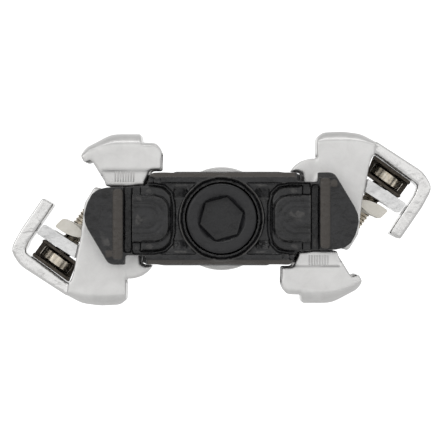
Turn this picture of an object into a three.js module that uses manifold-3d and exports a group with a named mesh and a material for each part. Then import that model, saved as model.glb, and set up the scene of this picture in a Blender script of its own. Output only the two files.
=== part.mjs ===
// Two-sided clipless bicycle pedal, millimetres, +Z up.
//
// The origin is on the spindle axis, at the shoulder that seats on the crank arm. The spindle runs
// along Y: its crank thread is on the +Y side and the pedal hangs on the -Y side. The top binding has
// its front claw at -X and its sprung rear jaw at +X. The bottom binding is the same set of parts
// turned half a turn about the spindle.

import * as THREE from "three";
import { mergeVertices } from "three/addons/utils/BufferGeometryUtils.js";
import Module from "manifold-3d";

const wasm = await Module();
wasm.setup();

// ---------------------------------------------------------------- driving dimensions

const GAP = 0.3; // clearance kept between neighbouring pieces

// spindle
const THREAD_RADIUS = 7.14; // 9/16 in x 20 pedal thread
const THREAD_LENGTH = 12.5;
const FLANGE_RADIUS = 9.2;
const WRENCH_FLATS = 15;
const KEY_SOCKET = 6; // hexagon socket in the crank end
const INBOARD_JOURNAL = 6.1;
const TIP_RADIUS = 3; // threaded tip for the bearing cone

// body casting, along the spindle
const OUTBOARD_FACE = -68;
const INBOARD_FACE = -25;
const PLATE = 7; // thickness of each end plate
const BINDING_Y = (OUTBOARD_FACE + INBOARD_FACE) / 2; // middle of the cleat
const BARREL_END = -13;
const BARREL_RADIUS = 9.8;

// body casting, seen along the spindle
const RAIL_TOP = 9.4; // half height of the end plates
const FLOOR_TOP = 9.6; // half height of the cleat floor
const BLOCK_HALF = 16.2; // half length of the middle block
const NOTCH_TOP = 6.7; // half height where a front claw sits
const TONGUE_SEAT = 6.9; // half height of the seat under a claw's tongue
const TONGUE_EDGE = 9.5; // where that seat starts

// bores of the body
const BEARING_BORE = 7.5;
const SHAFT_BORE = 5.9;
const BUSH_BORE = 8.05;

// rear jaw and its spring pack, top side
const PIVOT_X = 22;
const PIN_RADIUS = 2;
const PIN_END = -63.9; // the pin's outboard end, short of the slot in the end plate
const JAW_HALF_WIDTH = 14.1;
const CHEEK = 2.2;
const TAIL_HALF_WIDTH = 9.5;
const WIRE_RADIUS = 0.95;
const COIL_RADIUS = 4.25;

// tension screw: middle of its head, and its slope from the -X direction
const HEAD_X = 34.1;
const HEAD_Z = 8.5;
const SCREW_SLOPE = THREE.MathUtils.degToRad(54);
const SCREW_RADIUS = 1.9;

// front claw
const CLAW_HALF_WIDTH = 18;
const CLAW_PANEL = 2.2;
const CLAW_SCREW_X = -13.2;
const CLAW_SCREW_SPREAD = 6;

// ---------------------------------------------------------------- solids

// A closed mesh with merged corners, no empty triangles and its faces pointing out.
function closed(geometry) {
  const bare = geometry.clone();
  bare.deleteAttribute("normal");
  bare.deleteAttribute("uv");
  const merged = mergeVertices(bare, 1e-4);
  const corner = merged.attributes.position;
  const index = merged.index.array;
  const a = new THREE.Vector3();
  const b = new THREE.Vector3();
  const c = new THREE.Vector3();
  const kept = [];
  let volume = 0;
  for (let i = 0; i < index.length; i += 3) {
    const [p, q, r] = [index[i], index[i + 1], index[i + 2]];
    if (p === q || q === r || r === p) continue;
    kept.push(p, q, r);
    a.fromBufferAttribute(corner, p);
    b.fromBufferAttribute(corner, q);
    c.fromBufferAttribute(corner, r);
    volume += a.dot(b.cross(c));
  }
  if (volume < 0) kept.reverse();
  merged.setIndex(kept);
  return merged;
}

function toSolid(geometry) {
  const tidy = closed(geometry);
  return new wasm.Manifold(
    new wasm.Mesh({
      numProp: 3,
      vertProperties: new Float32Array(tidy.attributes.position.array),
      triVerts: new Uint32Array(tidy.index.array),
    }),
  );
}

function toGeometry(solid) {
  const mesh = solid.getMesh();
  const geometry = new THREE.BufferGeometry();
  geometry.setAttribute("position", new THREE.BufferAttribute(new Float32Array(mesh.vertProperties), 3));
  geometry.setIndex(new THREE.BufferAttribute(new Uint32Array(mesh.triVerts), 1));
  return closed(geometry);
}

// What two geometries have in common.
function common(one, other) {
  return toGeometry(toSolid(one).intersect(toSolid(other)));
}

// Joins the first list of geometries and cuts the second list out of them.
function carve(added, cut = []) {
  let solid = toSolid(added[0]);
  for (const more of added.slice(1)) solid = solid.add(toSolid(more));
  for (const less of cut) solid = solid.subtract(toSolid(less));
  return toGeometry(solid);
}

// ---------------------------------------------------------------- basic shapes

// An outline of [x, z, corner radius] points. A corner without a radius is sharp.
function outline(points) {
  const shape = new THREE.Shape();
  const count = points.length;
  points.forEach(([x, z, radius = 0], i) => {
    const [px, pz] = points[(i + count - 1) % count];
    const [nx, nz] = points[(i + 1) % count];
    const back = radius / Math.hypot(px - x, pz - z);
    const ahead = radius / Math.hypot(nx - x, nz - z);
    const entry = [x + (px - x) * back, z + (pz - z) * back];
    if (i === 0) shape.moveTo(...entry);
    else shape.lineTo(...entry);
    if (radius > 0) shape.quadraticCurveTo(x, z, x + (nx - x) * ahead, z + (nz - z) * ahead);
  });
  shape.closePath();
  return shape;
}

// A prism with an X-Z outline, from y = low to y = high.
function prism(points, low, high, curveSegments = 3) {
  const depth = high - low;
  const geometry = new THREE.ExtrudeGeometry(outline(points), { depth, curveSegments, bevelEnabled: false });
  return geometry.rotateX(Math.PI / 2).translate(0, high, 0);
}

// A prism centred on the binding.
function slab(points, halfWidth) {
  return prism(points, BINDING_Y - halfWidth, BINDING_Y + halfWidth);
}

// A prism the whole length of the pedal, with a Y-Z outline measured from the binding's middle plane.
function crosswise(points) {
  const reach = 60;
  const geometry = new THREE.ExtrudeGeometry(outline(points), { depth: 2 * reach, bevelEnabled: false });
  return geometry.rotateX(Math.PI / 2).rotateZ(Math.PI / 2).translate(-reach, BINDING_Y, 0);
}

function box([x0, x1], [y0, y1], [z0, z1]) {
  const geometry = new THREE.BoxGeometry(x1 - x0, y1 - y0, z1 - z0);
  return geometry.translate((x0 + x1) / 2, (y0 + y1) / 2, (z0 + z1) / 2);
}

function rod(radius, from, to, segments = 20, endRadius = radius) {
  const start = new THREE.Vector3(...from);
  const end = new THREE.Vector3(...to);
  const along = end.clone().sub(start);
  const geometry = new THREE.CylinderGeometry(endRadius, radius, along.length(), segments);
  const turn = new THREE.Quaternion().setFromUnitVectors(new THREE.Vector3(0, 1, 0), along.normalize());
  const middle = start.add(end).multiplyScalar(0.5);
  return geometry.applyQuaternion(turn).translate(middle.x, middle.y, middle.z);
}

// A piece turned about the spindle axis, from [radius, y] points.
function turned(profile, segments = 24) {
  const points = profile.map(([radius, y]) => new THREE.Vector2(radius, y));
  return new THREE.LatheGeometry(points, segments);
}

// A plain ring about the spindle axis.
function ring(inner, outer, low, high, segments = 24) {
  return turned([[inner, low], [outer, low], [outer, high], [inner, high], [inner, low]], segments);
}

// The same shape half a turn about the spindle away, for what the body has on both sides.
function halfTurn(geometry) {
  return geometry.clone().rotateY(Math.PI);
}

function bothSides(geometries) {
  return geometries.flatMap((geometry) => [geometry, halfTurn(geometry)]);
}

// The same shape on the other side of the binding's middle plane.
function mirrored(geometry) {
  return closed(geometry.clone().translate(0, -BINDING_Y, 0).scale(1, -1, 1).translate(0, BINDING_Y, 0));
}

function bothEnds(geometries) {
  return geometries.flatMap((geometry) => [geometry, mirrored(geometry)]);
}

// ---------------------------------------------------------------- the tension screw's own axes

// Places [across, along] measured from the middle of the screw's head: "along" runs down the screw
// and "across" runs away from the pedal.
function fromHead(across, along) {
  const [cos, sin] = [Math.cos(SCREW_SLOPE), Math.sin(SCREW_SLOPE)];
  return [HEAD_X + across * sin - along * cos, HEAD_Z - across * cos - along * sin];
}

function screwOutline(points) {
  return points.map(([across, along, radius = 0]) => [...fromHead(across, along), radius]);
}

function screwRod(radius, start, end, segments = 20) {
  const [x0, z0] = fromHead(0, start);
  const [x1, z1] = fromHead(0, end);
  return rod(radius, [x0, BINDING_Y, z0], [x1, BINDING_Y, z1], segments);
}

// ---------------------------------------------------------------- spindle and bearings

function spindle() {
  const shaft = turned([
    [0, THREAD_LENGTH],
    [6.3, THREAD_LENGTH],
    [THREAD_RADIUS, THREAD_LENGTH - 0.9],
    [THREAD_RADIUS, 1.6],
    [THREAD_RADIUS - 0.5, 1.1],
    [THREAD_RADIUS - 0.5, 0.5],
    [THREAD_RADIUS + 0.1, 0],
    [FLANGE_RADIUS, 0],
    [FLANGE_RADIUS, -2.4],
    [8.5, -2.9],
    [8.5, -7.6],
    [INBOARD_JOURNAL, -8.4],
    [INBOARD_JOURNAL, -24.8],
    [5.4, -25.2],
    [4.4, -53.8],
    [TIP_RADIUS, -54.2],
    [TIP_RADIUS, -64],
    [TIP_RADIUS - 0.6, -64.5],
    [0, -64.5],
  ]);
  const reach = 20;
  const half = WRENCH_FLATS / 2;
  const flat = box([half, reach], [-7.8, -2.9], [-reach, reach]);
  const socket = hexagon(KEY_SOCKET, THREAD_LENGTH - 6.5, THREAD_LENGTH + 1);
  return carve([shaft], [flat, halfTurn(flat), socket]);
}

// A hexagonal prism along Y, given by its width across the flats.
function hexagon(acrossFlats, low, high, turn = 0) {
  const corner = acrossFlats / Math.sqrt(3);
  const geometry = new THREE.CylinderGeometry(corner, corner, high - low, 6);
  return geometry.rotateY(turn).translate(0, (low + high) / 2, 0);
}

function bearingCone() {
  return turned([[3.3, -59.6], [3.9, -59.6], [4.1, -58.6], [3.75, -57], [4.1, -55.4], [3.9, -54.5],
    [3.3, -54.5], [3.3, -59.6]]);
}

function bearingCup() {
  return turned([[6.2, -59.8], [7.2, -59.8], [7.2, -54.3], [6.2, -54.3], [6.2, -55.4], [6.45, -57],
    [6.2, -58.6], [6.2, -59.8]]);
}

// Eleven balls held in a ring, in one piece that rolls between cone and cup.
function ballCage() {
  const balls = [];
  const count = 11;
  const pitchRadius = 5.1;
  for (let i = 0; i < count; i += 1) {
    const angle = (i / count) * 2 * Math.PI;
    const ball = new THREE.SphereGeometry(0.85, 6, 4);
    balls.push(ball.translate(pitchRadius * Math.cos(angle), -57, pitchRadius * Math.sin(angle)));
  }
  return carve([ring(4.8, 5.4, -57.5, -56.5, 33), ...balls]);
}

function lockNut() {
  return carve([hexagon(10, -64.1, -60.9)], [rod(TIP_RADIUS + GAP, [0, -66, 0], [0, -58, 0], 24)]);
}

function lockWasher() {
  return ring(TIP_RADIUS + GAP, 4.9, -60.6, -59.9);
}

function inboardBush() {
  return ring(INBOARD_JOURNAL + GAP, BUSH_BORE - GAP, -25.2, -17.6);
}

function lockCollar() {
  return turned([[6.5, -17.2], [BUSH_BORE - GAP, -17.2], [BUSH_BORE - GAP, BARREL_END + GAP],
    [11, BARREL_END + GAP], [11, -10.2], [10.4, -9.4], [8, -9.4], [8, -11.7], [6.5, -11.7],
    [6.5, -17.2]], 32);
}

function inboardSeal() {
  return turned([[6.4, -11.3], [7.7, -11.3], [7.7, -9.8], [6.8, -9.8], [6.4, -10.4], [6.4, -11.3]]);
}

function endCap() {
  const radius = 7.15;
  const plug = turned([[0, -65.4], [radius - 0.5, -65.4], [radius, -65.9], [radius, -68.4],
    [radius - 0.4, -68.8], [0, -68.8]], 28);
  const twist = THREE.MathUtils.degToRad(15);
  return carve([plug], [hexagon(8, -69.8, -66.1, twist)]);
}

function endCapSeal() {
  return new THREE.TorusGeometry(6.6, 0.45, 6, 24).rotateX(Math.PI / 2).translate(0, -64.6, 0);
}

// ---------------------------------------------------------------- body casting

// The end plates: a rail across the middle, and a nose at each end that carries a pivot pin.
function plateOutline() {
  const half = [
    [22.9, RAIL_TOP, 1],
    [28.4, 0.2, 2.4],
    [26.3, -6.2, 3],
    [15.3, -NOTCH_TOP, 0.6],
    [14.1, -RAIL_TOP, 0.4],
  ];
  return [...half, ...half.map(([x, z, radius]) => [-x, -z, radius])];
}

function roundedRectangle(left, right, low, high, radius) {
  return [[left, high, radius], [right, high, radius], [right, low, radius], [left, low, radius]];
}

// A D shape: rounded towards the spindle, square towards the nose.
function dShape(inner, outer, half, radius) {
  return [[inner, half, radius], [outer, half], [outer, -half], [inner, -half, radius]];
}

// The recess in an end plate's face, beside the bore: a ledge along the rails, the floor, a pocket
// round the pad and the deep slot outside it.
function faceRecess() {
  const face = OUTBOARD_FACE;
  const ledge = prism(roundedRectangle(4.2, 12.4, -7.35, 7.35, 0.4), face - 1, face + 0.55);
  const floor = prism(roundedRectangle(6.5, 12.4, -5.4, 5.4, 0.8), face - 1, face + 2);
  const pocket = prism(dShape(9.4, 18.1, 7.3, 4.2), face - 1, face + 2.4);
  const slot = prism(roundedRectangle(18.2, 19.9, -6.8, 7, 0.6), face - 1, face + 3.4);
  return [ledge, floor, pocket, slot];
}

// The stepped pad that stands in the recess.
function facePad() {
  const face = OUTBOARD_FACE;
  const step = prism(dShape(10.05, 16.4, 6.7, 3.9), face + 1.3, face + 4);
  const pad = prism(dShape(10.6, 18.15, 4.75, 3.4), face + 0.5, face + 4);
  return [step, pad];
}

// A notch through the rail's inner edge, and the shallow step beside it.
function railNotches() {
  const face = OUTBOARD_FACE;
  return [
    box([-15.2, -13.8], [face - 1, face + 1.3], [7.2, 8.5]),
    box([-13.9, -12.3], [face - 1, face + 0.5], [7.2, 8.3]),
  ];
}

// What stands proud of the outboard face on a nose: a ridge beside the slot, and a small corner boss.
function noseRelief() {
  const [face, root] = [OUTBOARD_FACE, OUTBOARD_FACE + 1];
  const ridge = prism(roundedRectangle(20.1, 22.1, -5.9, 8.2, 0.7), face - 0.45, root);
  const boss = prism(roundedRectangle(22.4, 23.6, 6.4, 7.9, 0.4), face - 0.3, root);
  return [ridge, boss];
}

// An end plate, with a broad chamfer along the outer edge of its rails and a gap beside each jaw's nose.
function endPlate() {
  const face = OUTBOARD_FACE - BINDING_Y;
  const chamfered = crosswise([
    [face, RAIL_TOP - 1.05],
    [face + 1.3, RAIL_TOP + 0.1],
    [0, RAIL_TOP + 0.1],
    [0, -RAIL_TOP - 0.1],
    [face + 1.3, -RAIL_TOP - 0.1],
    [face, 1.05 - RAIL_TOP],
  ]);
  const plate = common(prism(plateOutline(), OUTBOARD_FACE, OUTBOARD_FACE + PLATE), chamfered);
  const gap = prism(roundedRectangle(15.4, 19.6, 7.5, 12, 0.4), OUTBOARD_FACE - 1, OUTBOARD_FACE + PLATE + 1);
  return carve([plate], [gap, halfTurn(gap)]);
}

function bodyCasting() {
  const plate = endPlate();
  const blockStart = OUTBOARD_FACE + PLATE - 1;
  const blockEnd = INBOARD_FACE - PLATE + 1;
  const block = prism(
    [
      [11.7, FLOOR_TOP],
      [BLOCK_HALF, FLOOR_TOP - 0.6],
      [BLOCK_HALF, -TONGUE_SEAT],
      [TONGUE_EDGE, -TONGUE_SEAT],
      [TONGUE_EDGE, -FLOOR_TOP],
      [-11.7, -FLOOR_TOP],
      [-BLOCK_HALF, -FLOOR_TOP + 0.6],
      [-BLOCK_HALF, TONGUE_SEAT],
      [-TONGUE_EDGE, TONGUE_SEAT],
      [-TONGUE_EDGE, FLOOR_TOP],
    ],
    blockStart,
    blockEnd,
  );
  const barrel = rod(BARREL_RADIUS, [0, INBOARD_FACE - 1, 0], [0, BARREL_END, 0], 28);
  const boss = rod(8.7, [0, OUTBOARD_FACE + 3, 0], [0, OUTBOARD_FACE - 0.1, 0], 32);
  const bores = [
    rod(BEARING_BORE, [0, OUTBOARD_FACE - 2, 0], [0, -53.5, 0], 24),
    rod(SHAFT_BORE, [0, -55, 0], [0, -25, 0], 24),
    rod(BUSH_BORE, [0, -25.5, 0], [0, BARREL_END + 2, 0], 24),
  ];
  const relief = bothEnds(bothSides([...faceRecess(), ...railNotches()]));
  const pads = [...bothEnds(bothSides(facePad())), ...bothSides(noseRelief())];
  const pinHole = rod(PIN_RADIUS + GAP, [PIVOT_X, PIN_END - GAP, 0], [PIVOT_X, INBOARD_FACE + 1, 0], 18);
  const at = (z) => [CLAW_SCREW_X, BINDING_Y - CLAW_SCREW_SPREAD, z];
  const screwHoles = bothEnds([rod(2.3, at(1.2), at(12), 16)]);
  const relieved = carve([plate, mirrored(plate), block], relief);
  return carve([relieved, ...pads, barrel, boss], [...bores, ...bothSides([pinHole, ...screwHoles])]);
}

// ---------------------------------------------------------------- front claw, top side

// An arched steel claw: side panels, a crowned lip over the cleat's nose, and a screwed tongue.
function frontClaw() {
  const arch = slab(
    [
      [-28.9, 13, 0.8],
      [-27.6, 14.6, 0.5],
      [-22.5, 17.3, 1.5],
      [-16.3, 17.3, 0.5],
      [-16.3, 15.6],
      [-13.1, 15.5, 1],
      [-12.2, 13.6, 0.5],
      [-12.3, 9.9],
      [-14.5, 9.9],
      [-15.8, NOTCH_TOP + 0.5],
      [-23.6, NOTCH_TOP + 0.5, 0.8],
      [-26.5, 11.9, 0.4],
      [-27.9, 11.3, 0.5],
    ],
    CLAW_HALF_WIDTH,
  );
  const mouth = slab(
    [
      [-9, 9.3],
      [-21.6, 9.3, 0.8],
      [-24.4, 13.3, 0.8],
      [-9, 13.3],
    ],
    CLAW_HALF_WIDTH - CLAW_PANEL,
  );
  const tip = -TONGUE_EDGE - GAP;
  const tongue = slab([[-22, 7.75], [-16.8, 7.75], [-16.3, 7.2], [tip, 7.2], [tip, 9.3], [-22, 9.3]], 14);
  const nosePocket = slab([[-16.3, 9.3], [-9, 9.3], [-9, 20], [-16.3, 20]], 10);
  const jawClearance = slab([[-14, 5], [-14, 7.75], [-22.8, 7.75], [-24.6, 9.2], [-27, 5]], 14.6);
  const face = BINDING_Y - CLAW_HALF_WIDTH;
  const footStep = bothEnds([box([-24.5, -10], [face - 2, face + 0.3], [5, 9.9])]);
  const at = (z) => [CLAW_SCREW_X, BINDING_Y - CLAW_SCREW_SPREAD, z];
  const screwHoles = bothEnds([rod(2.4, at(6), at(7.4), 16), rod(2.3, at(7.1), at(9.4), 16, 4.1)]);
  return carve([carve([arch], [jawClearance]), tongue], [mouth, nosePocket, ...footStep, ...screwHoles]);
}

// A countersunk screw, flush with the claw's tongue.
function clawScrew(side) {
  const y = BINDING_Y + side * CLAW_SCREW_SPREAD;
  const at = (z) => [CLAW_SCREW_X, y, z];
  const socket = new THREE.CylinderGeometry(1.44, 1.44, 3, 6).rotateX(Math.PI / 2);
  return carve(
    [rod(2, at(1.8), at(7.4), 16), rod(2, at(7.3), at(9.1), 16, 3.5)],
    [socket.translate(CLAW_SCREW_X, y, 9.4)],
  );
}

// ---------------------------------------------------------------- rear jaw, top side

// A cheek at each side, a crowned bridge with the catch lip, and an L-shaped tail round the screw.
function rearJaw() {
  const cheek = prism(
    [
      [19.5, 15.3, 0.8],
      [31.1, 15.3, 0.6],
      [29.7, 8],
      [28.8, 3.7],
      [28, -3.2],
      [25.9, -6.6, 0.6],
      [22.4, -5.3, 1.5],
      [17.2, -4.6, 4],
      [17.2, 4.4, 2],
      [19.9, 9.3],
    ],
    BINDING_Y - JAW_HALF_WIDTH,
    BINDING_Y - JAW_HALF_WIDTH + CHEEK,
  );
  const guide = prism(
    [
      [14.1, 9.95],
      [16, 11.7, 0.8],
      [18, 12.3, 0.5],
      [21, 12.3],
      [21, 5.6],
      [16.6, 5.6],
      [16.6, 9.6],
      [15.5, 9.95],
    ],
    BINDING_Y - JAW_HALF_WIDTH + 0.2,
    BINDING_Y - JAW_HALF_WIDTH + CHEEK + 3.2,
  );
  const bridge = slab(
    [
      [19.5, 16.7, 0.4],
      [20.8, 17.7, 0.6],
      [24.8, 17.9, 1],
      [28.6, 17.4, 1],
      [31.6, 15.8],
      [31.2, 12.9],
      [19.5, 12.9, 0.3],
    ],
    JAW_HALF_WIDTH,
  );
  const heel = slab([[25.9, 13.2], [31, 13.2], [29.5, 8.7], [25.9, 8.7, 0.6]], JAW_HALF_WIDTH - 0.2);
  const tail = slab(
    screwOutline([
      [-6.2, -4.6],
      [5.2, -5.2, 1.2],
      [8.8, -3.8, 1.6],
      [9.4, 1],
      [9.6, 8.8, 0.3],
      [7, 9.1, 0.3],
      [6.7, 0],
      [6.1, -2.4, 0.8],
      [-5.4, -2.5],
    ]),
    TAIL_HALF_WIDTH,
  );
  const pinHole = rod(PIN_RADIUS + GAP, [PIVOT_X, -70, 0], [PIVOT_X, -20, 0], 18);
  const keyHole = screwRod(2.2, -8, -1.5, 18);
  return carve([...bothEnds([cheek, guide]), bridge, heel, tail], [pinHole, keyHole]);
}

// The bar that carries the screw's thrust on the back of the jaw.
function thrustPlate() {
  const section = screwOutline([[-3, 2.6], [6.3, 2.1, 0.3], [6.3, 4.6, 0.5], [-1.9, 5.1]]);
  return carve([slab(section, TAIL_HALF_WIDTH - 0.5)], [screwRod(SCREW_RADIUS + 0.4, 0, 8, 18)]);
}

// The dark cage round the screw's head: a plate on each side of it, joined along the inboard side.
function detentCage() {
  const block = slab(screwOutline([[-4.7, -2.2], [4.6, -2.2, 0.4], [4.6, 2, 0.4], [-3.6, 2]]), 4.6);
  const hollow = screwOutline([[-9, -1.5], [9, -1.5], [9, 1.4], [-9, 1.4]]);
  const inside = prism(hollow, BINDING_Y - 9, BINDING_Y + 3.9);
  return carve([block], [inside, screwRod(2.2, -4, 0, 18), screwRod(SCREW_RADIUS + 0.4, 0, 4, 18)]);
}

function tensionScrew() {
  const socket = screwRod(1.73, -2, 0.2, 6);
  return carve([screwRod(3.6, -1.2, 1.1, 24), screwRod(SCREW_RADIUS, 1, 13.2, 18)], [socket]);
}

// A curved nut that rides on the screw. Its wings bear on the springs' arms.
function tensionNut() {
  const wing = [
    [-2.2, 7.2, 0.4],
    [-0.3, 6.1, 0.6],
    [2, 5.5, 0.6],
    [4.2, 5.45, 0.5],
    [3.8, 7.9, 0.6],
    [1, 8.3, 0.3],
    [-2, 7.9, 0.3],
  ];
  const boss = [
    [-2.7, 7.6, 0.5],
    [-1.2, 6.5, 0.6],
    [1.2, 5.6, 0.6],
    [3, 5.5],
    [3, 8],
    [0.6, 8.7, 0.6],
    [-2.6, 9.6, 0.5],
  ];
  const hole = screwRod(SCREW_RADIUS + GAP, 3, 12, 18);
  return carve([slab(screwOutline(wing), 9), slab(screwOutline(boss), 4)], [hole]);
}

function pivotPin() {
  return rod(PIN_RADIUS, [PIVOT_X, PIN_END, 0], [PIVOT_X, -23.6, 0], 18);
}

// The spring clip on the pin's inboard end.
function pinClip() {
  const mouth = box([PIVOT_X - 1.4, PIVOT_X + 1.4], [-26, -22], [-6, 0]);
  const hole = rod(PIN_RADIUS + GAP, [PIVOT_X, -26, 0], [PIVOT_X, -22, 0], 18);
  return carve([rod(3.8, [PIVOT_X, -24.65, 0], [PIVOT_X, -24.05, 0], 24)], [hole, mouth]);
}

function springSleeve(side) {
  const from = BINDING_Y + side * 4.8;
  const to = BINDING_Y + side * (JAW_HALF_WIDTH - CHEEK - GAP);
  return carve([rod(3, [PIVOT_X, from, 0], [PIVOT_X, to, 0], 16)],
    [rod(PIN_RADIUS + GAP, [PIVOT_X, -70, 0], [PIVOT_X, -20, 0], 16)]);
}

// A torsion spring on the pivot pin: one arm rests on the body's block, the other under the nut.
function torsionSpring(side) {
  const inner = BINDING_Y + side * 5.75;
  const outer = BINDING_Y + side * (JAW_HALF_WIDTH - CHEEK - GAP - WIRE_RADIUS - 0.1);
  const [endX, endZ] = fromHead(-0.9, 10.6);
  const reach = Math.hypot(endX - PIVOT_X, endZ);
  const lastAngle = Math.atan2(endZ, endX - PIVOT_X) + Math.acos(COIL_RADIUS / reach);
  const sweep = Math.PI - lastAngle + 4 * Math.PI;
  const points = [];
  for (const z of [-5.4, -3.6, -1.8]) points.push(new THREE.Vector3(PIVOT_X - COIL_RADIUS, outer, z));
  const steps = 30;
  for (let i = 0; i <= steps; i += 1) {
    const angle = Math.PI - (sweep * i) / steps;
    const y = outer + ((inner - outer) * i) / steps;
    points.push(new THREE.Vector3(PIVOT_X + COIL_RADIUS * Math.cos(angle), y, COIL_RADIUS * Math.sin(angle)));
  }
  const tangent = points[points.length - 1].clone();
  for (const part of [0.33, 0.66, 1]) {
    points.push(tangent.clone().lerp(new THREE.Vector3(endX, inner, endZ), part));
  }
  const wire = new THREE.Shape();
  const corners = 5;
  for (let i = 0; i < corners; i += 1) {
    const angle = (i / corners) * 2 * Math.PI;
    wire[i ? "lineTo" : "moveTo"](WIRE_RADIUS * Math.cos(angle), WIRE_RADIUS * Math.sin(angle));
  }
  wire.closePath();
  const path = new THREE.CatmullRomCurve3(points);
  return new THREE.ExtrudeGeometry(wire, { steps: 38, extrudePath: path, bevelEnabled: false });
}

// ---------------------------------------------------------------- materials

function finish(color, roughness, metalness) {
  return () => new THREE.MeshStandardMaterial({ color, roughness, metalness });
}

const blackCasting = finish(0x2b2c2f, 0.55, 0.3);
const satinNickel = finish(0xc9c7c2, 0.32, 0.9);
const polishedSteel = finish(0xd4d2ce, 0.18, 0.95);
const machinedSteel = finish(0xb4b2ae, 0.35, 0.9);
const bearingSteel = finish(0xc2c4c8, 0.15, 1);
const zincScrew = finish(0xa9a294, 0.35, 0.85);
const springSteel = finish(0x55534f, 0.4, 0.85);
const creamPlating = finish(0xe2dccb, 0.35, 0.6);
const blackPlastic = finish(0x1b1b1d, 0.5, 0);
const sealRubber = finish(0x151515, 0.85, 0);
const bronze = finish(0xa98250, 0.45, 0.8);

// ---------------------------------------------------------------- assembly

const pedal = new THREE.Group();

function place(parent, name, geometry, material) {
  const mesh = new THREE.Mesh(closed(geometry), material());
  mesh.name = name;
  parent.add(mesh);
}

place(pedal, "spindle", spindle(), machinedSteel);
place(pedal, "bearing_cone", bearingCone(), bearingSteel);
place(pedal, "bearing_ball_cage", ballCage(), bearingSteel);
place(pedal, "bearing_cup", bearingCup(), bearingSteel);
place(pedal, "lock_washer", lockWasher(), machinedSteel);
place(pedal, "lock_nut", lockNut(), machinedSteel);
place(pedal, "inboard_bush", inboardBush(), bronze);
place(pedal, "inboard_seal", inboardSeal(), sealRubber);
place(pedal, "lock_collar", lockCollar(), satinNickel);
place(pedal, "body_casting", bodyCasting(), blackCasting);
place(pedal, "end_cap", endCap(), blackPlastic);
place(pedal, "end_cap_seal", endCapSeal(), sealRubber);

for (const face of ["top", "bottom"]) {
  const binding = new THREE.Group();
  if (face === "bottom") binding.rotation.y = Math.PI;
  place(binding, `front_claw_${face}`, frontClaw(), satinNickel);
  place(binding, `rear_jaw_${face}`, rearJaw(), satinNickel);
  place(binding, `thrust_plate_${face}`, thrustPlate(), polishedSteel);
  place(binding, `detent_cage_${face}`, detentCage(), springSteel);
  place(binding, `tension_screw_${face}`, tensionScrew(), zincScrew);
  place(binding, `tension_nut_${face}`, tensionNut(), creamPlating);
  place(binding, `pivot_pin_${face}`, pivotPin(), machinedSteel);
  place(binding, `pin_clip_${face}`, pinClip(), springSteel);
  for (const [end, side] of [["outboard", -1], ["inboard", 1]]) {
    place(binding, `claw_screw_${end}_${face}`, clawScrew(side), zincScrew);
    place(binding, `spring_sleeve_${end}_${face}`, springSleeve(side), blackPlastic);
    place(binding, `torsion_spring_${end}_${face}`, torsionSpring(side), springSteel);
  }
  pedal.add(binding);
}

export default pedal;
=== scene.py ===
import math
from functools import partial

import bmesh
import bpy
import numpy as np
from mathutils import Matrix, Vector


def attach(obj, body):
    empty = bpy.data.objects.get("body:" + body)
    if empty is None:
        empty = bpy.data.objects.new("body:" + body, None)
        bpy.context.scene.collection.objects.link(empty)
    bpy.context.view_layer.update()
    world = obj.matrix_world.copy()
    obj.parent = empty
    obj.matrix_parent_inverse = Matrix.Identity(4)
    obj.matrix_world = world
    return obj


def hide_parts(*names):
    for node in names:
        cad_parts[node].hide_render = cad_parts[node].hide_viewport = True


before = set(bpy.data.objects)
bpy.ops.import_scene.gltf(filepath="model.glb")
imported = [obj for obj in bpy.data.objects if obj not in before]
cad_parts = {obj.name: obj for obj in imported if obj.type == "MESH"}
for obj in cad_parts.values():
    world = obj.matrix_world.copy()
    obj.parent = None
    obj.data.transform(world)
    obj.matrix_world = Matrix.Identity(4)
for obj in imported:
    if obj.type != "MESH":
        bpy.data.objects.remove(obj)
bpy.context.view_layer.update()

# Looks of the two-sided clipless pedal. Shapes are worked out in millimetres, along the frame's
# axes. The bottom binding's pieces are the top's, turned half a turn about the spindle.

MM = 0.001
TURN = 2 * math.pi
BINDING_Y = -46.5  # middle of the cleat
FACE_Y = -68.0  # outboard face of the end plate
PIVOT_X = 22.0  # pivot pin of the top rear jaw, at z 0
HEAD_X, HEAD_Z = 34.1, 8.5  # middle of the tension screw's head
SCREW_SLOPE = math.radians(54)  # the screw's axis, from the -X direction
CLAW_SCREW_X, CLAW_SCREW_SPREAD = -13.2, 6.0
END_CAP_TWIST = math.radians(15)

BODY_VOXEL = 0.2
PLATED_VOXEL = 0.24  # claws and jaws

scene = bpy.context.scene

# ---------------------------------------------------------------- meshes


def new_mesh(points, faces):
    """A mesh in millimetres, with coinciding points merged and its faces pointing out."""
    merge_distance = 0.002
    mesh = bpy.data.meshes.new("work")
    mesh.from_pydata([tuple(p) for p in points], [], faces)
    bm = bmesh.new()
    bm.from_mesh(mesh)
    bmesh.ops.remove_doubles(bm, verts=bm.verts, dist=merge_distance)
    bmesh.ops.recalc_face_normals(bm, faces=bm.faces)
    bm.to_mesh(mesh)
    bm.free()
    return mesh


def cad_mesh(node):
    """A CAD node's own shape, in millimetres."""
    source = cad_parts[node].data
    points = [v.co / MM for v in source.vertices]
    return new_mesh(points, [tuple(p.vertices) for p in source.polygons])


def changed(mesh, *modifiers):
    """The mesh after these modifiers, each of them a type and its settings."""
    obj = bpy.data.objects.new("work", mesh)
    scene.collection.objects.link(obj)
    for kind, settings in modifiers:
        modifier = obj.modifiers.new(kind, kind)
        for name, value in settings.items():
            setattr(modifier, name, value)
    graph = bpy.context.evaluated_depsgraph_get()
    result = bpy.data.meshes.new_from_object(obj.evaluated_get(graph))
    bpy.data.objects.remove(obj)
    bpy.data.meshes.remove(mesh)
    return result


def points_of(mesh):
    """The mesh's points, as arrays of x, y and z."""
    co = np.zeros(len(mesh.vertices) * 3, np.float32)
    mesh.vertices.foreach_get("co", co)
    return co.reshape(-1, 3).astype(float).T


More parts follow.
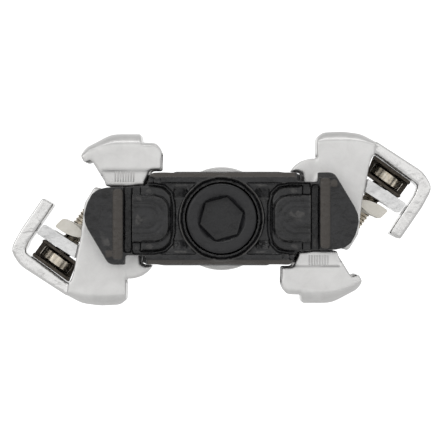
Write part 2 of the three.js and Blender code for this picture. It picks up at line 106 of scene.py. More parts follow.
def moved(mesh, change):
    """Moves the mesh's points: change takes and returns arrays of x, y and z."""
    points = np.stack(change(*points_of(mesh)), 1)
    mesh.vertices.foreach_set("co", points.astype(np.float32).ravel())
    mesh.update()
    return mesh


def painted(mesh, name, amount):
    """Gives the mesh's points an attribute from 0 to 1: amount takes arrays of x, y and z."""
    attribute = mesh.attributes.new(name, "FLOAT", "POINT")
    attribute.data.foreach_set("value", amount(*points_of(mesh)).astype(np.float32))
    return mesh


def voxels(size):
    return "REMESH", {"mode": "VOXEL", "voxel_size": size, "adaptivity": 0.0}


def smoothing(steps):
    return "SMOOTH", {"factor": 0.5, "iterations": steps}


def thinning(ratio):
    return "DECIMATE", {"ratio": ratio}


def bevelled(node, width, segments=2):
    """A CAD node with its flat faces joined up and its edges rounded."""
    flat, sharp = math.radians(1), math.radians(24)
    mesh = cad_mesh(node)
    bm = bmesh.new()
    bm.from_mesh(mesh)
    bmesh.ops.dissolve_limit(bm, angle_limit=flat, verts=bm.verts, edges=bm.edges)
    bm.to_mesh(mesh)
    bm.free()
    rounding = {"width": width, "segments": segments, "limit_method": "ANGLE",
                "angle_limit": sharp, "use_clamp_overlap": True}
    return changed(mesh, ("BEVEL", rounding))


def hexagonal(apothem, twist=0.0):
    """Radius of a hexagon, as a function of the angle."""
    return lambda angle, y: apothem / np.cos((angle - twist) % (math.pi / 3) - math.pi / 6)


def thread(radius, depth, pitch, low, high, hand=1):
    """Rows of a helical thread between low and high along the axis, fading out at both ends."""
    rows_per_turn, sharpness = 8, 0.8
    count = max(2, round(abs(high - low) / pitch * rows_per_turn))

    def groove(y):
        fade = min(1.0, abs(y - low) / pitch, abs(y - high) / pitch)

        def radius_at(angle, _):
            share = (y / pitch - hand * angle / TURN) % 1
            return radius - fade * depth * np.abs(2 * share - 1) ** sharpness
        return radius_at

    return [(groove(y), y) for y in np.linspace(low, high, count)]


def softened(profile, radius, closed=False):
    """The same [radius, y] profile with its corners rounded."""
    most = 0.45  # of a side's length
    points = [Vector(p) for p in profile]
    result = []
    for i, point in enumerate(points):
        if not closed and i in (0, len(points) - 1):
            result.append(tuple(point))
            continue
        before, after = points[i - 1] - point, points[(i + 1) % len(points)] - point
        reach = min(radius, before.length * most, after.length * most)
        start, end = point + before.normalized() * reach, point + after.normalized() * reach
        for t in (0.0, 0.5, 1.0):
            result.append(tuple(start * (1 - t) ** 2 + point * 2 * t * (1 - t) + end * t * t))
    return result


def turned(rows, segments=48, closed=False, place=None):
    """A turned mesh about the Y axis. A row is a radius, or a function of the angle, and its y."""
    angle = np.arange(segments) / segments * TURN
    points, faces = [], []
    for radius, y in rows:
        r = radius(angle, y) if callable(radius) else np.full(segments, float(radius))
        points += [(r[i] * math.cos(a), y, r[i] * math.sin(a)) for i, a in enumerate(angle)]
    count = len(rows)
    for j in range(count if closed else count - 1):
        k = (j + 1) % count
        for i in range(segments):
            n = (i + 1) % segments
            faces.append((j * segments + i, j * segments + n, k * segments + n, k * segments + i))
    if not closed:
        faces.append(tuple(range(segments)))
        faces.append(tuple(range((count - 1) * segments, count * segments)))
    mesh = new_mesh(points, faces)
    if place is not None:
        mesh.transform(place)
    return mesh


def ring(inner, outer, low, high, soft=0.15, segments=48, place=None):
    profile = [(inner, low), (outer, low), (outer, high), (inner, high)]
    return turned(softened(profile, soft, closed=True), segments, closed=True, place=place)


def sweep(path, radius, sides=12):
    """A round wire along a path of points, with rounded ends."""
    path = [Vector(p) for p in path]
    last = len(path) - 1
    ahead = [path[min(i + 1, last)] for i in range(len(path))]
    behind = [path[max(i - 1, 0)] for i in range(len(path))]
    tangents = [(a - b).normalized() for a, b in zip(ahead, behind)]
    tip_reach, tip_share = radius * 0.4, 0.6
    side = tangents[0].orthogonal().normalized()
    points, faces = [], []
    stations = [(path[0] - tangents[0] * tip_reach, tangents[0], tip_share)]
    stations += [(p, t, 1.0) for p, t in zip(path, tangents)]
    stations.append((path[-1] + tangents[-1] * tip_reach, tangents[-1], tip_share))
    for centre, tangent, share in stations:
        side = (side - tangent * side.dot(tangent)).normalized()
        other = tangent.cross(side)
        for i in range(sides):
            a = i / sides * TURN
            points.append(centre + (side * math.cos(a) + other * math.sin(a)) * radius * share)
    for j in range(len(stations) - 1):
        for i in range(sides):
            n = (i + 1) % sides
            faces.append((j * sides + i, j * sides + n, (j + 1) * sides + n, (j + 1) * sides + i))
    faces.append(tuple(range(sides)))
    faces.append(tuple(range((len(stations) - 1) * sides, len(stations) * sides)))
    return new_mesh(points, faces)


def joined(meshes):
    """One mesh out of several."""
    bm = bmesh.new()
    for mesh in meshes:
        bm.from_mesh(mesh)
        bpy.data.meshes.remove(mesh)
    result = bpy.data.meshes.new("work")
    bm.to_mesh(result)
    bm.free()
    return result


# ---------------------------------------------------------------- materials


class Nodes:
    """Builds one node tree."""

    def __init__(self, tree):
        self.tree = tree
        self.tree.nodes.clear()

    def add(self, kind, inputs=(), **settings):
        node = self.tree.nodes.new(kind)
        for name, value in settings.items():
            setattr(node, name, value)
        for socket, value in dict(inputs).items():
            if isinstance(value, bpy.types.NodeSocket):
                self.tree.links.new(value, node.inputs[socket])
            else:
                node.inputs[socket].default_value = value
        return node

    def noise(self, vector, scale, detail=3.0, roughness=0.55, distortion=0.0):
        inputs = {"Vector": vector, "Scale": scale, "Detail": detail, "Roughness": roughness,
                  "Distortion": distortion}
        return self.add("ShaderNodeTexNoise", inputs).outputs["Fac"]

    def remap(self, value, low, high, to_low, to_high):
        inputs = {"Value": value, "From Min": low, "From Max": high,
                  "To Min": to_low, "To Max": to_high}
        return self.add("ShaderNodeMapRange", inputs, clamp=True).outputs["Result"]

    def math(self, operation, first, second=0.0):
        return self.add("ShaderNodeMath", {0: first, 1: second}, operation=operation).outputs[0]

    def mix(self, factor, first, second):
        node = self.add("ShaderNodeMix", {"Factor": factor}, data_type="RGBA")
        colours = [socket for socket in node.inputs if socket.type == "RGBA"]
        for target, value in zip(colours, (first, second)):
            if isinstance(value, bpy.types.NodeSocket):
                self.tree.links.new(value, target)
            else:
                target.default_value = (*value, 1.0)
        return [socket for socket in node.outputs if socket.type == "RGBA"][0]


def finish_of(name, dark, light, metallic, rough, patch, grain, grain_depth, dents=0.0,
              dent_scale=0, streaks=0.0, streak_along=(1, 1, 14), edge_highlight=None, specular=0.5,
              polish=None, bare=None):
    """A procedural finish. Scales count features for each metre, and depths are in millimetres.

    Its colour drifts between dark and light in patches, its roughness between the two values of
    rough. The bump is a fine grain, with broader dents and fine streaks where they are asked for.
    Edge highlight is a painted highlight: a lighter colour mixed onto raised edges. Where the
    mesh's polish attribute is 1, polish is the roughness instead, and where its bare attribute is
    1, bare is the colour instead.
    """
    made = bpy.data.materials.new(name)
    made.use_nodes = True
    nodes = Nodes(made.node_tree)

    def times(value, factor):
        return nodes.math("MULTIPLY", value, factor)

    def plus(first, second):
        return nodes.math("ADD", first, second)

    def attribute(kind):
        return nodes.add("ShaderNodeAttribute", attribute_name=kind).outputs["Fac"]

    where = nodes.add("ShaderNodeTexCoord").outputs["Object"]
    patches = nodes.noise(where, patch, detail=4.0, roughness=0.6, distortion=0.4)
    fine = nodes.noise(where, grain, detail=2.0)
    stretch = {"Vector": where, "Scale": streak_along}
    stretched = nodes.add("ShaderNodeMapping", stretch).outputs["Vector"]
    scratches = nodes.noise(stretched, 1400, detail=3.0, roughness=0.7)

    colour = nodes.mix(nodes.remap(patches, 0.3, 0.7, 0.0, 1.0), dark, light)
    if bare:
        colour = nodes.mix(attribute("bare"), colour, bare)
    # painted highlight: raised edges, found by their pointiness, are mixed toward a lighter colour
    if edge_highlight:
        pointed = nodes.add("ShaderNodeNewGeometry").outputs["Pointiness"]
        edge = nodes.remap(pointed, 0.515, 0.57, 0.0, 1.0)
        edge = times(edge, nodes.remap(patches, 0.35, 0.6, 0.25, 0.9))
        colour = nodes.mix(edge, colour, edge_highlight)

    roughness = nodes.remap(plus(times(patches, 0.6), times(scratches, 0.4)), 0.35, 0.65, *rough)
    depth = times(fine, grain_depth)
    if dents:
        depth = plus(depth, times(nodes.noise(where, dent_scale, detail=2.5), dents))
    if streaks:
        depth = plus(depth, times(scratches, streaks))
    if polish:
        shine = attribute("polish")
        smooth = nodes.remap(patches, 0.3, 0.7, *polish)
        rest = nodes.math("SUBTRACT", 1.0, shine)
        roughness = plus(times(roughness, rest), times(smooth, shine))
        waves = nodes.noise(where, 230, detail=3.0, roughness=0.55, distortion=0.5)
        depth = plus(depth, times(waves, times(shine, 0.2)))
    bump = nodes.add("ShaderNodeBump", {"Height": depth, "Strength": 1.0, "Distance": MM})

    shader = nodes.add("ShaderNodeBsdfPrincipled", {
        "Base Color": colour, "Metallic": metallic, "Roughness": roughness,
        "Specular IOR Level": specular, "Normal": bump.outputs["Normal"]})
    nodes.add("ShaderNodeOutputMaterial", {"Surface": shader.outputs["BSDF"]})
    return made


LOOKS = {
    "black_casting": dict(
        dark=(0.001, 0.001, 0.0012), light=(0.020, 0.020, 0.022), metallic=0.0, rough=(0.18, 0.42),
        patch=480, grain=7000, grain_depth=0.016, dents=0.2, dent_scale=700,
        # the lighter edge colour is a painted highlight along the casting's raised edges
        edge_highlight=(0.07, 0.067, 0.064), specular=0.52, bare=(0.052, 0.044, 0.037)),
    "satin_nickel": dict(
        dark=(0.70, 0.695, 0.685), light=(0.82, 0.815, 0.805), metallic=1.0, rough=(0.36, 0.46),
        patch=260, grain=9000, grain_depth=0.006, streaks=0.004, streak_along=(1, 1, 10),
        polish=(0.16, 0.3)),
    "polished_steel": dict(
        dark=(0.52, 0.52, 0.52), light=(0.76, 0.76, 0.755), metallic=1.0, rough=(0.12, 0.24),
        patch=420, grain=8000, grain_depth=0.004, dents=0.12, dent_scale=320, streaks=0.006),
    "machined_steel": dict(
        dark=(0.50, 0.49, 0.48), light=(0.62, 0.61, 0.60), metallic=1.0, rough=(0.24, 0.36),
        patch=500, grain=9000, grain_depth=0.004, streaks=0.01, streak_along=(1, 12, 1)),
    "bearing_steel": dict(
        dark=(0.60, 0.61, 0.63), light=(0.72, 0.73, 0.75), metallic=1.0, rough=(0.08, 0.14),
        patch=900, grain=12000, grain_depth=0.001),
    "zinc_screw": dict(
        dark=(0.50, 0.43, 0.33), light=(0.85, 0.80, 0.70), metallic=1.0, rough=(0.2, 0.34),
        patch=1200, grain=9000, grain_depth=0.006, streaks=0.008),
    "spring_steel": dict(
        dark=(0.045, 0.038, 0.03), light=(0.12, 0.105, 0.09), metallic=1.0, rough=(0.3, 0.45),
        patch=1100, grain=8000, grain_depth=0.008, streaks=0.006),
    "cream_plating": dict(
        dark=(0.70, 0.67, 0.60), light=(0.84, 0.81, 0.745), metallic=0.55, rough=(0.3, 0.42),
        patch=600, grain=7000, grain_depth=0.006),
    "black_cap": dict(
        dark=(0.004, 0.004, 0.005), light=(0.013, 0.013, 0.015), metallic=0.0, rough=(0.24, 0.42),
        patch=420, grain=6000, grain_depth=0.014, dents=0.16, dent_scale=560),
    "seal_rubber": dict(
        dark=(0.008, 0.008, 0.008), light=(0.018, 0.018, 0.018), metallic=0.0, rough=(0.6, 0.8),
        patch=900, grain=5000, grain_depth=0.02, specular=0.3),
    "bronze": dict(
        dark=(0.34, 0.21, 0.09), light=(0.52, 0.35, 0.17), metallic=1.0, rough=(0.3, 0.45),
        patch=1200, grain=6000, grain_depth=0.015),
}
FINISHES = {slot: finish_of(slot, **look) for slot, look in LOOKS.items()}


# ---------------------------------------------------------------- showing pieces


def show(name, mesh, body, slot, nodes=(), bottom=False):
    """Adds a mesh, built in millimetres for the top side, as a piece that rides on a body."""
    mesh.name = name
    place = Matrix.Scale(MM, 4)
    if bottom:
        place = Matrix.Rotation(math.pi, 4, "Y") @ place
    mesh.transform(place)
    mesh.polygons.foreach_set("use_smooth", [True] * len(mesh.polygons))
    mesh.materials.clear()
    mesh.materials.append(FINISHES[slot])
    obj = bpy.data.objects.new(name, mesh)
    scene.collection.objects.link(obj)
    obj.modifiers.new("shading", "WEIGHTED_NORMAL").weight = 80
    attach(obj, body)
    if nodes:
        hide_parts(*nodes)


def in_place_of(node, mesh, body, slot, bottom=False):
    """Shows a mesh in place of the CAD node it stands for."""
    show(f"{node}_skin", mesh, body, slot, [node], bottom)


def on_both_sides(name, build, body, slot):
    """The same piece for the top and the bottom binding, each in place of its CAD node."""
    for side in ("top", "bottom"):
        in_place_of(f"{name}_{side}", build(), body.format(side), slot, side == "bottom")


# ---------------------------------------------------------------- body casting


def ramp(value, low, high):
    """0 below low, 1 above high, and a smooth rise between them."""
    t = np.clip((value - low) / (high - low), 0.0, 1.0)
    return t * t * (3 - 2 * t)


def rounded_edge(out, up, inner, half, radius):
    """Distance outside the rounded inner end of a D shape, negative inside it."""
    across, over = inner + radius - out, up - (half - radius)
    corner = np.hypot(np.maximum(across, 0), np.maximum(over, 0))
    return corner + np.minimum(np.maximum(across, over), 0) - radius


def shape_body(x, y, z):
    """Grooves, slopes and arcs of the outboard end plate's face, and its rails' uneven edge."""
    radius, up, out = np.hypot(x, z), np.abs(z), np.abs(x)

    # a shallow ring groove round the end cap
    groove = (y < -66.4) & (radius > 7.2) & (radius < 8.2)
    y = np.where(groove, np.maximum(y, -66.9), y)

    # the step between the recess's ledge and its floor leans
    height, lean, rise = 5.4, 1.9, 1.45
    step = (y < -65.8) & (y > -67.6) & (out < 9.7) & (radius > 8.8)
    level = np.clip((-66 - y) / rise, 0, 1) - 0.5
    nearness = np.clip(1 - np.abs(up - height) / lean, 0, 1)
    z = np.where(step, z + np.sign(z) * level * lean * nearness, z)

    # two arcs pressed into each pad
    arc_width, arc_depth = 0.16, 0.14
    pad = (y < -67.2) & (y > -67.8) & (out > 10.7) & (out < 18.0) & (up < 4.6)
    contour = np.hypot(np.minimum(out - 15.1, 0), z)
    arcs = sum(np.exp(-((contour - arc) / arc_width) ** 2) for arc in (2.1, 3.3))
    y = np.where(pad, y + arc_depth * arcs, y)

    # rounded edges of each pad, and of the step round it
    drop, reach = 0.45, 0.5
    for inner, half, corner, low, high in ((10.6, 4.75, 3.0, -67.7, -67.2),
                                           (10.05, 6.7, 3.5, -66.9, -66.4)):
        inside = -rounded_edge(out, up, inner, half, corner)
        top = (y > low) & (y < high) & (out < 16.3)
        wall = (y < low) & (y > low - 0.3) & (out < 17.9)
        edge = (top | wall) & (inside > -0.1)
        y = np.where(edge, y + drop * np.clip(1 - inside / reach, 0, 1) ** 2, y)

    # the ridge beside each slot is rounded across
    ridge_middle, ridge_half, ridge_height = 21.1, 1.12, 0.5
    ridge = (y < -68.12) & (out > 20.0) & (out < 22.25)
    crest = np.sqrt(np.clip(1 - ((out - ridge_middle) / ridge_half) ** 2, 0, 1))
    y = np.where(ridge, FACE_Y - ridge_height * crest, y)

    # the rails' outer edge is a little wavy
    rim = (up > 9.0) & (out < 14.2) & (y < -61.5)
    wave = 0.5 + 0.5 * np.sin(x * 1.25 + 0.6)
    z = np.where(rim, z * (1 - 0.007 * wave), z)
    return x, y, z


def bare_body(x, y, z):
    """1 where the casting's coating is rubbed thin: on its ridges and its rails' chamfers."""
    ridge = ramp(-y, 68.1, 68.3) * (np.abs(x) > 19)
    chamfer = ramp(np.abs(z), 8.3, 8.6) * ramp(-y, 66.4, 66.8) * (np.abs(x) < 15)
    return np.maximum(ridge, chamfer)


def body_skin():
    mesh = moved(changed(cad_mesh("body_casting"), voxels(BODY_VOXEL)), shape_body)
    return painted(changed(mesh, smoothing(3), thinning(0.3)), "bare", bare_body)


# ---------------------------------------------------------------- claws and jaws


def crown(crease, start, side, keep=0.06):
    """Rounds a top down to its crease towards both sides, from start to side off the middle.

    At the sides, keep is the share of its height above the crease that is left.
    """
    def change(x, y, z):
        level = crease(x)
        off = np.clip((np.abs(y - BINDING_Y) - start) / (side - start), 0, 1)
        share = keep + (1 - keep) * np.sqrt(1 - off ** 2)
        return x, y, np.where(z > level, level + (z - level) * share, z)
    return change


def claw_crease(x):
    along = [-28.4, -27.1, -23.7, -21.6, -13.1, -12.0]
    return np.interp(x, along, [12.6, 13.5, 14.4, 14.7, 14.7, 13.9])


def jaw_crease(x):
    return np.interp(x, [19.5, 28.0, 31.2], [15.4, 15.4, 15.0])


def close_foot(x, y, z):
    """Draws the feet of a claw's side panels down to the end plates."""
    foot = (x < -15.7) & (x > -23.8) & (np.abs(y - BINDING_Y) > 15.2)
    gap = 0.4 - 0.045 * (x + 15.8)
    return x, y, np.where(foot, z - gap * (1 - ramp(z, 7.25, 8.4)), z)


def close_guide(x, y, z):
    """Draws the underside of a jaw's guides down to the body's block."""
    guide = (x < 16.9) & (z > 9)
    return x, y, np.where(guide, z - 0.27 * (1 - ramp(z, 9.95, 11)), z)


def polished_tail(x, y, z):
    """1 on a jaw's tail and 0 on its cheeks, whose back edge slants."""
    back_edge = 28.4 + (z + 3.2) / 6
    return ramp(x - back_edge, 0.0, 0.5)


def plated_skin(node, *changes):
    """A claw or jaw, with these changes to its points and every edge softened."""
    mesh = changed(cad_mesh(node), voxels(PLATED_VOXEL))
    for change in changes:
        mesh = moved(mesh, change)
    return changed(mesh, voxels(PLATED_VOXEL), smoothing(3), thinning(0.35))


def claw_skin():
    return plated_skin("front_claw_top", crown(claw_crease, start=12.5, side=18.05), close_foot)


def jaw_skin():
    mesh = plated_skin("rear_jaw_top", crown(jaw_crease, start=9.6, side=14.15), close_guide)
    return painted(mesh, "polish", polished_tail)


def claw_ribs():
    """The finely ribbed strip along the foot of a claw, at both of its ends."""
    count, first, pitch, width = 8, -21.8, 0.53, 0.3
    low, high, inset = 7.45, 9.65, 0.06
    panel, sunk, proud = 17.7, 0.25, 0.13
    meshes = []
    for side in (-1, 1):
        face = BINDING_Y + side * panel
        for i in range(count):
            x = first + i * pitch
            profile = [(x, low), (x + width, low), (x + width, high), (x, high)]
            inner = [(px, face - side * sunk, pz) for px, pz in profile]
            outer = [(px * 0.8 + (x + width / 2) * 0.2, face + side * proud,
                      pz + (inset if pz == low else -inset)) for px, pz in profile]
            walls = [(k, (k + 1) % 4, (k + 1) % 4 + 4, k + 4) for k in range(4)]
            meshes.append(new_mesh(inner + outer, [(0, 1, 2, 3), (4, 5, 6, 7), *walls]))
    return joined(meshes)


# ---------------------------------------------------------------- turned pieces


def spindle_skin():
    socket = hexagonal(3.0)
    rows = [(0.0, 6.1), (2.2, 6.4), (socket, 6.6), (socket, 11.9), (3.75, 12.45), (4.0, 12.5),
            (5.9, 12.5), (6.35, 12.3)]
    rows += thread(7.12, depth=0.75, pitch=1.27, low=12.1, high=1.5)
    rows += softened([(6.64, 1.2), (6.64, 0.5), (7.24, 0.0), (9.2, 0.0), (9.2, -2.4), (8.5, -2.9),
                      (8.5, -7.6), (6.1, -8.4), (6.1, -24.8), (5.4, -25.2), (4.4, -53.8),
                      (3.0, -54.2)], 0.25)
    rows += thread(3.0, depth=0.35, pitch=0.8, low=-54.6, high=-64.0)
    rows += [(2.4, -64.45), (0.0, -64.5)]

    def flats(x, y, z):
        """The two milled flats for a wrench."""
        milled = (y < -2.85) & (y > -7.8)
        return np.where(milled, np.clip(x, -7.5, 7.5), x), y, z
    return moved(turned(rows, 96), flats)


def end_cap_skin():
    wall = hexagonal(4.0, END_CAP_TWIST)
    rows = [(0.0, -66.1), (3.3, -66.1), (hexagonal(3.75, END_CAP_TWIST), -66.1),
            (hexagonal(3.95, END_CAP_TWIST), -66.16), (wall, -66.4), (wall, -68.15),
            (4.9, -68.62), (5.1, -68.78), (6.6, -68.8), (6.95, -68.7), (7.12, -68.45),
            (7.15, -68.3)]
    rows += softened([(7.15, -68.2), (7.15, -65.9), (6.65, -65.4), (0.0, -65.4)], 0.1)
    return turned(rows, 96)


def end_cap_seal_skin():
    sides = 12
    angles = [i / sides * TURN for i in range(sides)]
    section = [(6.6 + 0.44 * math.cos(a), -64.6 + 0.4 * math.sin(a)) for a in angles]
    return turned(section, 64, closed=True)


def closed_ring(profile, soft, segments):
    """A turned piece with a hole, from a closed [radius, y] profile with softened corners."""
    return turned(softened(profile, soft, closed=True), segments, closed=True)


def bearing_cone_skin():
    return closed_ring([(3.3, -59.6), (3.9, -59.6), (4.1, -58.6), (3.75, -57.6), (3.72, -56.4),
                        (4.1, -55.4), (3.9, -54.5), (3.3, -54.5)], 0.15, 48)


def bearing_cup_skin():
    return closed_ring([(6.25, -59.8), (7.2, -59.8), (7.2, -54.3), (6.25, -54.3), (6.25, -55.4),
                        (6.45, -57), (6.25, -58.6)], 0.15, 48)


def bearing_skin():
    """Eleven balls in a pressed cage."""
    balls, pitch_radius, ball_radius, middle, arc_steps = 11, 5.1, 0.85, -57, 12
    angles = [t * math.pi / arc_steps for t in range(arc_steps + 1)]
    arc = [(ball_radius * math.sin(a), middle - ball_radius * math.cos(a)) for a in angles]
    meshes = [ring(4.85, 5.35, -57.4, -56.6, 0.1, 66)]
    for i in range(balls):
        a = i / balls * TURN
        off = (pitch_radius * math.cos(a), 0, pitch_radius * math.sin(a))
        meshes.append(turned(arc, 20, place=Matrix.Translation(off)))
    return changed(joined(meshes), voxels(0.12), smoothing(1), thinning(0.4))


def lock_nut_skin():
    flats = hexagonal(4.98)
    rows = [(3.3, -64.1), (3.5, -64.1), (4.6, -64.1), (flats, -63.7), (flats, -61.3),
            (4.7, -60.9), (3.5, -60.9), (3.3, -60.9)]
    return turned(rows, 72, closed=True)


def inboard_seal_skin():
    return closed_ring([(6.4, -11.3), (7.7, -11.3), (7.7, -9.8), (6.8, -9.8), (6.4, -10.4)],
                       0.12, 64)


def lock_collar_skin():
    return closed_ring([(6.5, -17.2), (7.75, -17.2), (7.75, -12.7), (11, -12.7), (11, -11.6),
                        (10.75, -11.45), (10.75, -11.15), (11, -11), (11, -10.2), (10.4, -9.4),
                        (8, -9.4), (8, -11.7), (6.5, -11.7)], 0.2, 96)


def screw_place():
    """From the tension screw's own axes, with y along it from the head, to the pedal's."""
    cos, sin = math.cos(SCREW_SLOPE), math.sin(SCREW_SLOPE)
    return Matrix((
        (sin, -cos, 0, HEAD_X), (0, 0, 1, BINDING_Y), (-cos, -sin, 0, HEAD_Z), (0, 0, 0, 1)))


def tension_screw_skin():
    def knurled(angle, _):
        return 3.58 - 0.16 * (0.5 + 0.5 * np.cos(angle * 12)) ** 3
    socket = hexagonal(1.5)
    rows = [(0.0, 0.25), (1.2, 0.12), (socket, 0.0), (socket, -0.95), (1.85, -1.2), (3.1, -1.2),
            (3.4, -1.1), (knurled, -0.9), (knurled, 0.85), (3.4, 1.02), (3.1, 1.1), (1.9, 1.15)]
    rows += thread(1.9, depth=0.36, pitch=0.75, low=1.4, high=12.8, hand=-1)
    rows += [(1.3, 13.15), (0.0, 13.2)]
    return turned(rows, 72, place=screw_place())


def claw_screw_skin(side):
    socket = hexagonal(1.25)
    rows = [(0.0, 7.7), (1.0, 7.8), (socket, 7.95), (socket, 8.95), (1.6, 9.1), (3.35, 9.1),
            (3.46, 9.0), (2.05, 7.4)]
    rows += thread(2.0, depth=0.3, pitch=0.8, low=7.2, high=2.2)
    rows += [(1.5, 1.85), (0.0, 1.8)]
    place = Matrix.Translation((CLAW_SCREW_X, BINDING_Y + side * CLAW_SCREW_SPREAD, 0))
    return turned(rows, 48, place=place @ Matrix.Rotation(math.pi / 2, 4, "X"))


def pivot_pin_skin():
    rows = [(0.0, -63.9), (1.5, -63.9), (1.95, -63.5), (2.0, -63.3), (2.0, -25.0), (1.65, -24.85),
            (1.65, -24.1), (1.9, -23.95), (1.9, -23.75), (1.6, -23.6), (0.0, -23.6)]
    return turned(rows, 32, place=Matrix.Translation((PIVOT_X, 0, 0)))


def sleeve_skin(side):
    low, high = sorted((BINDING_Y + side * 4.8, BINDING_Y + side * 11.6))
    return ring(2.32, 3.0, low, high, 0.15, 32, Matrix.Translation((PIVOT_X, 0, 0)))


def spring_skin(side):
    """A torsion spring on the pivot pin: one arm against the body, the other under the nut's wing."""
    coil, wire, steps = 4.25, 0.88, 84
    inner, outer = BINDING_Y + side * 5.75, BINDING_Y + side * 10.55

    # where the arm would touch the wing, from the screw's head
    across, along = -0.9, 10.6
    cos, sin = math.cos(SCREW_SLOPE), math.sin(SCREW_SLOPE)
    arm = Vector((HEAD_X + across * sin - along * cos, inner, HEAD_Z - across * cos - along * sin))

    # the arm stands back from there, so that the jaw can open
    slack = math.radians(17)
    cos, sin = math.cos(slack), math.sin(slack)
    end = Vector((PIVOT_X + (arm.x - PIVOT_X) * cos + arm.z * sin, inner,
                  arm.z * cos - (arm.x - PIVOT_X) * sin))
    reach = math.hypot(end.x - PIVOT_X, end.z)
    last = math.atan2(end.z, end.x - PIVOT_X) + math.acos(coil / reach)
    total = math.pi - last + 2 * TURN

    path = [(PIVOT_X - coil, outer, z) for z in (-5.2, -4.0, -2.7, -1.4)]
    for i in range(steps + 1):
        a = math.pi - total * i / steps
        y = outer + (inner - outer) * i / steps
        path.append((PIVOT_X + coil * math.cos(a), y, coil * math.sin(a)))
    tangent = Vector(path[-1])
    path += [tangent.lerp(end, t) for t in (0.25, 0.5, 0.75, 0.97)]
    return sweep(path, wire)


# ---------------------------------------------------------------- assembly


def add_centre_pieces():
    """The body and everything on the spindle's axis."""
    in_place_of("body_casting", body_skin(), "pedal_body", "black_casting")
    in_place_of("end_cap", end_cap_skin(), "pedal_body", "black_cap")
    in_place_of("end_cap_seal", end_cap_seal_skin(), "pedal_body", "seal_rubber")
    in_place_of("spindle", spindle_skin(), "spindle", "machined_steel")
    in_place_of("bearing_cone", bearing_cone_skin(), "spindle", "bearing_steel")
    in_place_of("bearing_cup", bearing_cup_skin(), "pedal_body", "bearing_steel")
    in_place_of("bearing_ball_cage", bearing_skin(), "bearing_cage", "bearing_steel")
    in_place_of("lock_washer", ring(3.3, 4.9, -60.6, -59.9), "spindle", "machined_steel")
    in_place_of("lock_nut", lock_nut_skin(), "spindle", "machined_steel")
    bush = ring(6.4, 7.75, -25.2, -17.6, 0.25, 64)
    in_place_of("inboard_bush", bush, "pedal_body", "bronze")
    in_place_of("inboard_seal", inboard_seal_skin(), "pedal_body", "seal_rubber")
    in_place_of("lock_collar", lock_collar_skin(), "pedal_body", "satin_nickel")


def add_binding_pieces():
    """What the top and the bottom binding each have."""
    on_both_sides("front_claw", claw_skin, "pedal_body", "satin_nickel")
    on_both_sides("rear_jaw", jaw_skin, "jaw_{}", "satin_nickel")
    on_both_sides("thrust_plate", partial(bevelled, "thrust_plate_top", 0.22, 3),
                  "jaw_{}", "polished_steel")
    on_both_sides("detent_cage", partial(bevelled, "detent_cage_top", 0.12),
                  "jaw_{}", "spring_steel")
    on_both_sides("tension_screw", tension_screw_skin, "screw_{}", "zinc_screw")
    on_both_sides("tension_nut", partial(bevelled, "tension_nut_top", 0.25, 3),
                  "nut_{}", "cream_plating")
    on_both_sides("pivot_pin", pivot_pin_skin, "pedal_body", "machined_steel")
    on_both_sides("pin_clip", partial(bevelled, "pin_clip_top", 0.12),
                  "pedal_body", "spring_steel")
    for end, side in (("outboard", -1), ("inboard", 1)):
        for name, build, slot in (("claw_screw", claw_screw_skin, "zinc_screw"),
                                  ("spring_sleeve", sleeve_skin, "black_cap"),
                                  ("torsion_spring", spring_skin, "spring_steel")):
            on_both_sides(f"{name}_{end}", partial(build, side), "pedal_body", slot)
    for side in ("top", "bottom"):
        show(f"claw_ribs_{side}", claw_ribs(), "pedal_body", "satin_nickel",
             bottom=side == "bottom")


# ---------------------------------------------------------------- floor, light and camera


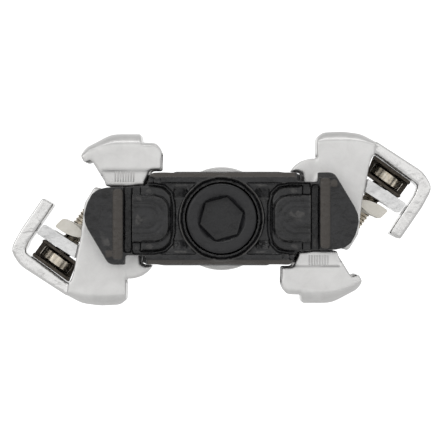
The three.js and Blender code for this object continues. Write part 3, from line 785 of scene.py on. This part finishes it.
def add_floor():
    """A plain pale floor, in metres."""
    size, back, depth = 3.0, 2.0, -0.15
    mesh = bpy.data.meshes.new("floor")
    corners = [(-size, -size, depth), (size, -size, depth), (size, back, depth),
               (-size, back, depth)]
    mesh.from_pydata(corners, [], [(0, 1, 2, 3)])
    obj = bpy.data.objects.new("floor", mesh)
    scene.collection.objects.link(obj)
    pale = bpy.data.materials.new("floor")
    pale.use_nodes = True
    nodes = Nodes(pale.node_tree)
    where = nodes.add("ShaderNodeTexCoord").outputs["Object"]
    tone = nodes.mix(nodes.noise(where, 30), (0.9, 0.9, 0.9), (0.93, 0.93, 0.93))
    shader = nodes.add("ShaderNodeBsdfPrincipled", {"Base Color": tone, "Roughness": 0.8})
    nodes.add("ShaderNodeOutputMaterial", {"Surface": shader.outputs["BSDF"]})
    mesh.materials.append(pale)


def add_world():
    """White near the horizon, greyer overhead and to the far left, far right and front."""
    brightness = 1.3
    world = bpy.data.worlds.new("studio")
    scene.world = world
    world.use_nodes = True
    nodes = Nodes(world.node_tree)
    direction = nodes.add("ShaderNodeTexCoord").outputs["Generated"]
    part = nodes.add("ShaderNodeSeparateXYZ", {"Vector": direction}).outputs
    overhead = nodes.remap(part["Z"], 0.05, 0.6, 1.0, 0.45)
    sideways = nodes.remap(nodes.math("ABSOLUTE", part["X"]), 0.55, 0.95, 1.0, 0.55)
    outward = nodes.remap(part["Y"], -0.97, -0.8, 0.9, 1.0)
    strength = nodes.math("MULTIPLY", nodes.math("MULTIPLY", overhead, sideways),
                          nodes.math("MULTIPLY", outward, brightness))
    sky = nodes.add("ShaderNodeBackground", {"Color": (1, 1, 1, 1), "Strength": strength})
    nodes.add("ShaderNodeOutputWorld", {"Surface": sky.outputs["Background"]})


def add_light(name, place, size, power):
    """An area light, sized and placed in metres, that faces the middle of the pedal."""
    light = bpy.data.lights.new(name, "AREA")
    light.shape = "RECTANGLE"
    light.size, light.size_y = size
    light.energy = power
    obj = bpy.data.objects.new(name, light)
    obj.location = place
    aim = Vector((0.0, BINDING_Y * MM, 0.0)) - obj.location
    obj.rotation_euler = aim.to_track_quat("-Z", "Y").to_euler()
    scene.collection.objects.link(obj)


def add_camera():
    """Looks along the spindle at the end cap, through a long lens."""
    data = bpy.data.cameras.new("camera")
    data.sensor_width = 36
    data.lens = 463
    data.clip_start, data.clip_end = 0.05, 20
    camera = bpy.data.objects.new("camera", data)
    camera.location = (-0.0003, -1.218, -0.0003)
    camera.rotation_euler = (math.pi / 2, 0, 0)
    scene.collection.objects.link(camera)
    scene.camera = camera


add_camera()
add_centre_pieces()
add_binding_pieces()
add_floor()
add_world()
add_light("overhead", (0.0, -0.2, 0.55), (0.6, 0.08), 0.4)
add_light("front_left", (-0.45, -0.6, 0.3), (0.3, 0.3), 0.35)
scene.view_settings.view_transform = "Standard"
